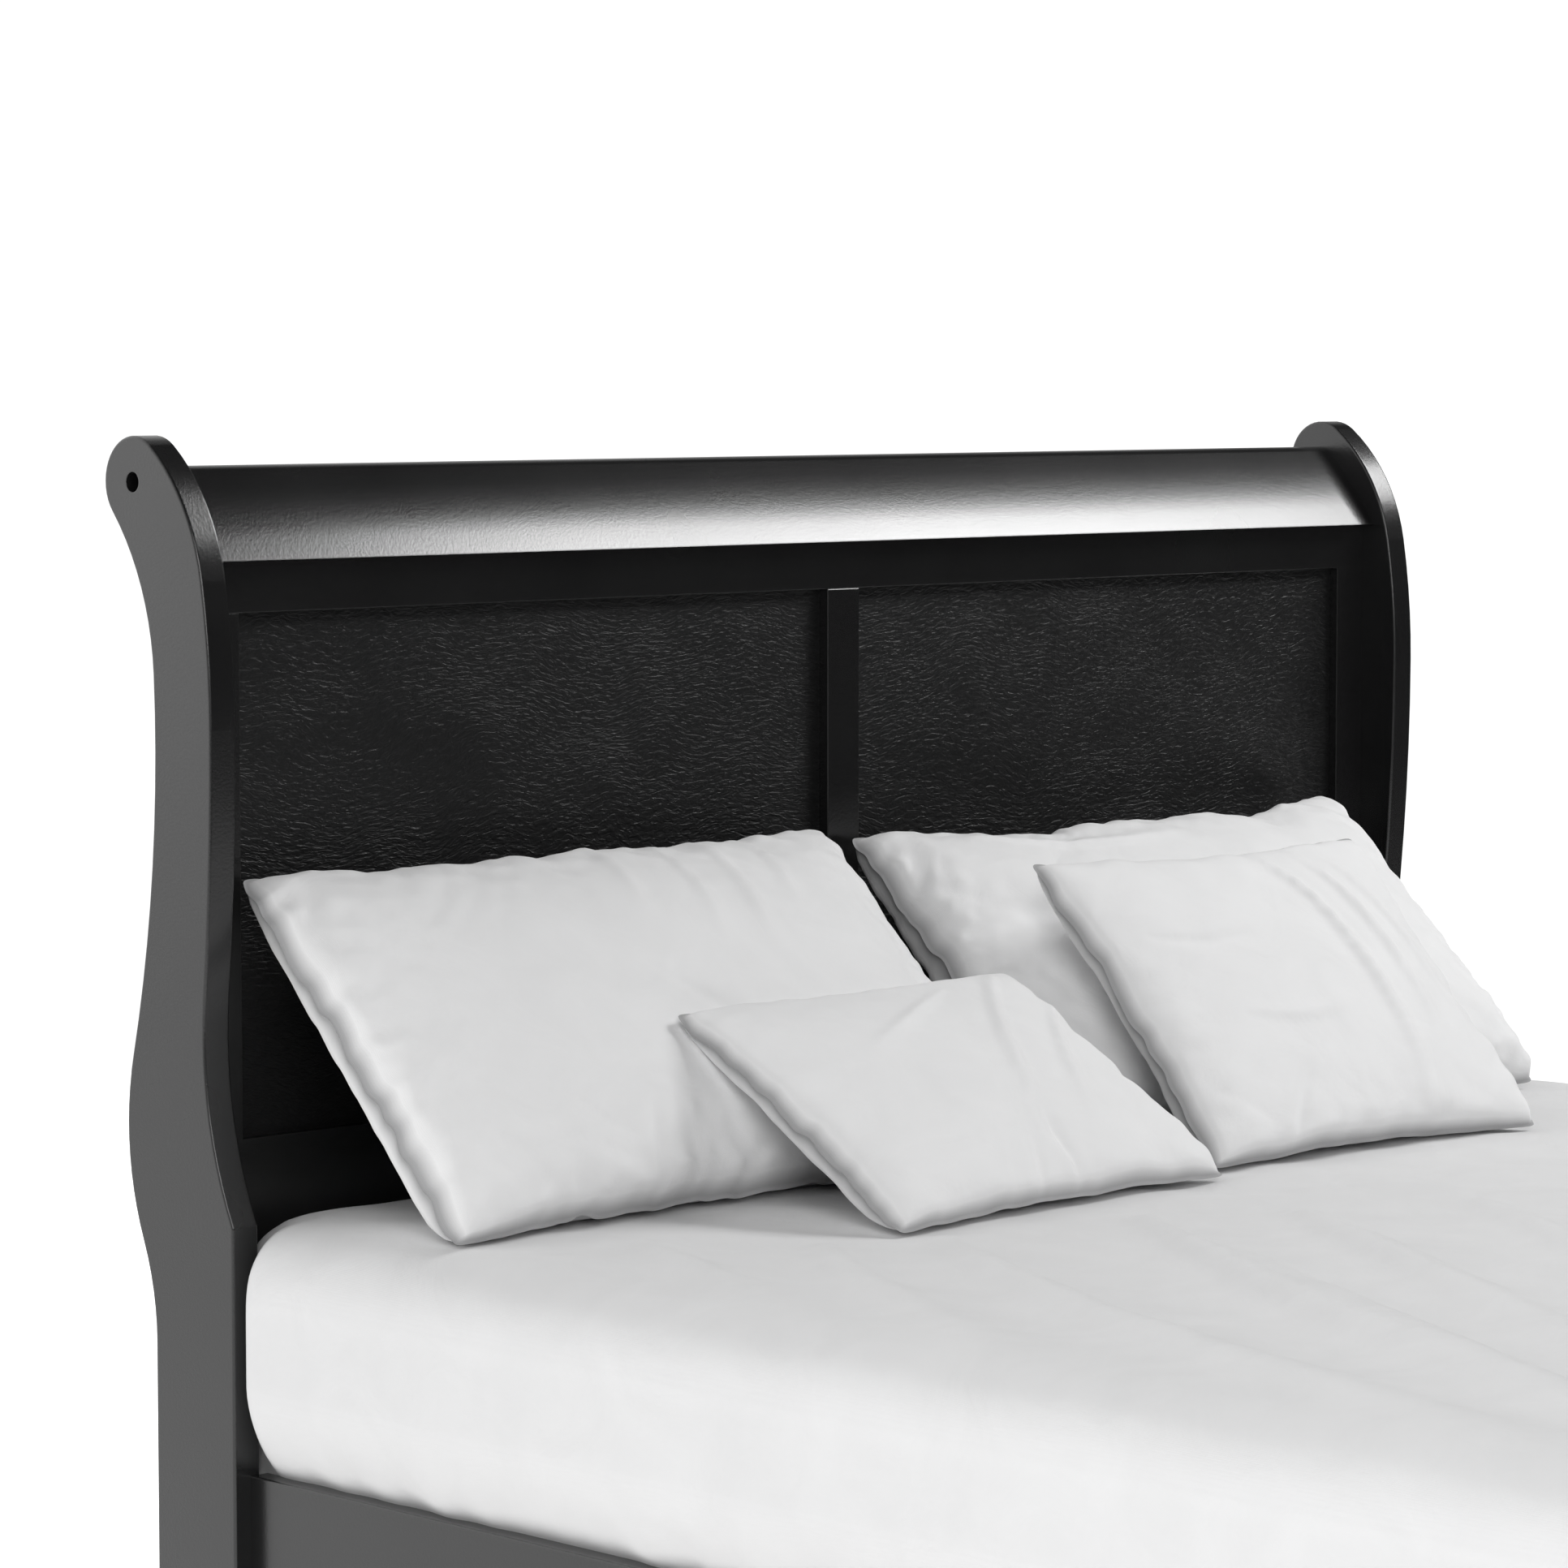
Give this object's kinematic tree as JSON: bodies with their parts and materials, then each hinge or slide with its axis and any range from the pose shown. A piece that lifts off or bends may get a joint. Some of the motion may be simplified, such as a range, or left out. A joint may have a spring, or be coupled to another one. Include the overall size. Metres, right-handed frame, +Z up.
{
  "type": "sleigh bed",
  "caption": "Double sleigh bed with S-shaped scroll posts, framed panel ends, side rails, slatted base, mattress in a fitted sheet, pillows and cushions.",
  "frame": {"origin": "on the floor under the centre of the bed", "axes": "+Y points to the head of the bed, +X to the right seen from the foot, +Z up"},
  "size_m": [1.442, 2.095, 1.1799],
  "materials": {
    "black_lacquered_wood": "satin black lacquer with a fine orange-peel",
    "embossed_panel_wood": "satin black lacquer over an embossed wavy grain",
    "bare_wood": "planed pine, unfinished",
    "slat_wood": "planed spruce, unfinished",
    "dowel_wood": "turned beech",
    "blackened_steel": "black oxide",
    "zinc_steel": "zinc plated",
    "nylon": "moulded",
    "mattress_ticking": "woven ticking over foam and springs",
    "cotton_sheet": "plain weave",
    "cotton_pillowcase": "plain weave",
    "cotton_cushion_cover": "plain weave"
  },
  "bodies": {
    "root": {"cap_screws": "blackened_steel", "frame_dowels": "dowel_wood", "floor_glides": "nylon", "bracket_bolts": "zinc_steel", "bracket_screws": "zinc_steel", "hanger_screws": "zinc_steel", "slat_screws": "zinc_steel", "corner_brackets": "zinc_steel", "beam_hangers": "zinc_steel", "centre_beam": "bare_wood", "support_leg_1": "bare_wood", "support_leg_2": "bare_wood", "side_rail_left": "black_lacquered_wood", "side_rail_right": "black_lacquered_wood", "slat_ledge_left": "bare_wood", "slat_ledge_right": "bare_wood", "mattress": "mattress_ticking", "fitted_sheet": "cotton_sheet", "pillow_left": "cotton_pillowcase", "pillow_right": "cotton_pillowcase", "cushion_square": "cotton_cushion_cover", "cushion_small": "cotton_cushion_cover", "head_post_left": "black_lacquered_wood", "head_stile_left": "black_lacquered_wood", "head_panel_left": "embossed_panel_wood", "corner_block_head_left": "bare_wood", "head_post_right": "black_lacquered_wood", "head_stile_right": "black_lacquered_wood", "head_panel_right": "embossed_panel_wood", "corner_block_head_right": "bare_wood", "head_cap_rail": "black_lacquered_wood", "head_top_rail": "black_lacquered_wood", "head_bottom_rail": "black_lacquered_wood", "head_centre_stile": "black_lacquered_wood", "foot_post_left": "black_lacquered_wood", "foot_stile_left": "black_lacquered_wood", "foot_panel_left": "embossed_panel_wood", "corner_block_foot_left": "bare_wood", "foot_post_right": "black_lacquered_wood", "foot_stile_right": "black_lacquered_wood", "foot_panel_right": "embossed_panel_wood", "corner_block_foot_right": "bare_wood", "foot_cap_rail": "black_lacquered_wood", "foot_top_rail": "black_lacquered_wood", "foot_bottom_rail": "black_lacquered_wood", "foot_centre_stile": "black_lacquered_wood", "slat_01": "slat_wood", "slat_02": "slat_wood", "slat_03": "slat_wood", "slat_04": "slat_wood", "slat_05": "slat_wood", "slat_06": "slat_wood", "slat_07": "slat_wood", "slat_08": "slat_wood", "slat_09": "slat_wood", "slat_10": "slat_wood", "slat_11": "slat_wood", "slat_12": "slat_wood", "slat_13": "slat_wood"}
  },
  "joints": []
}
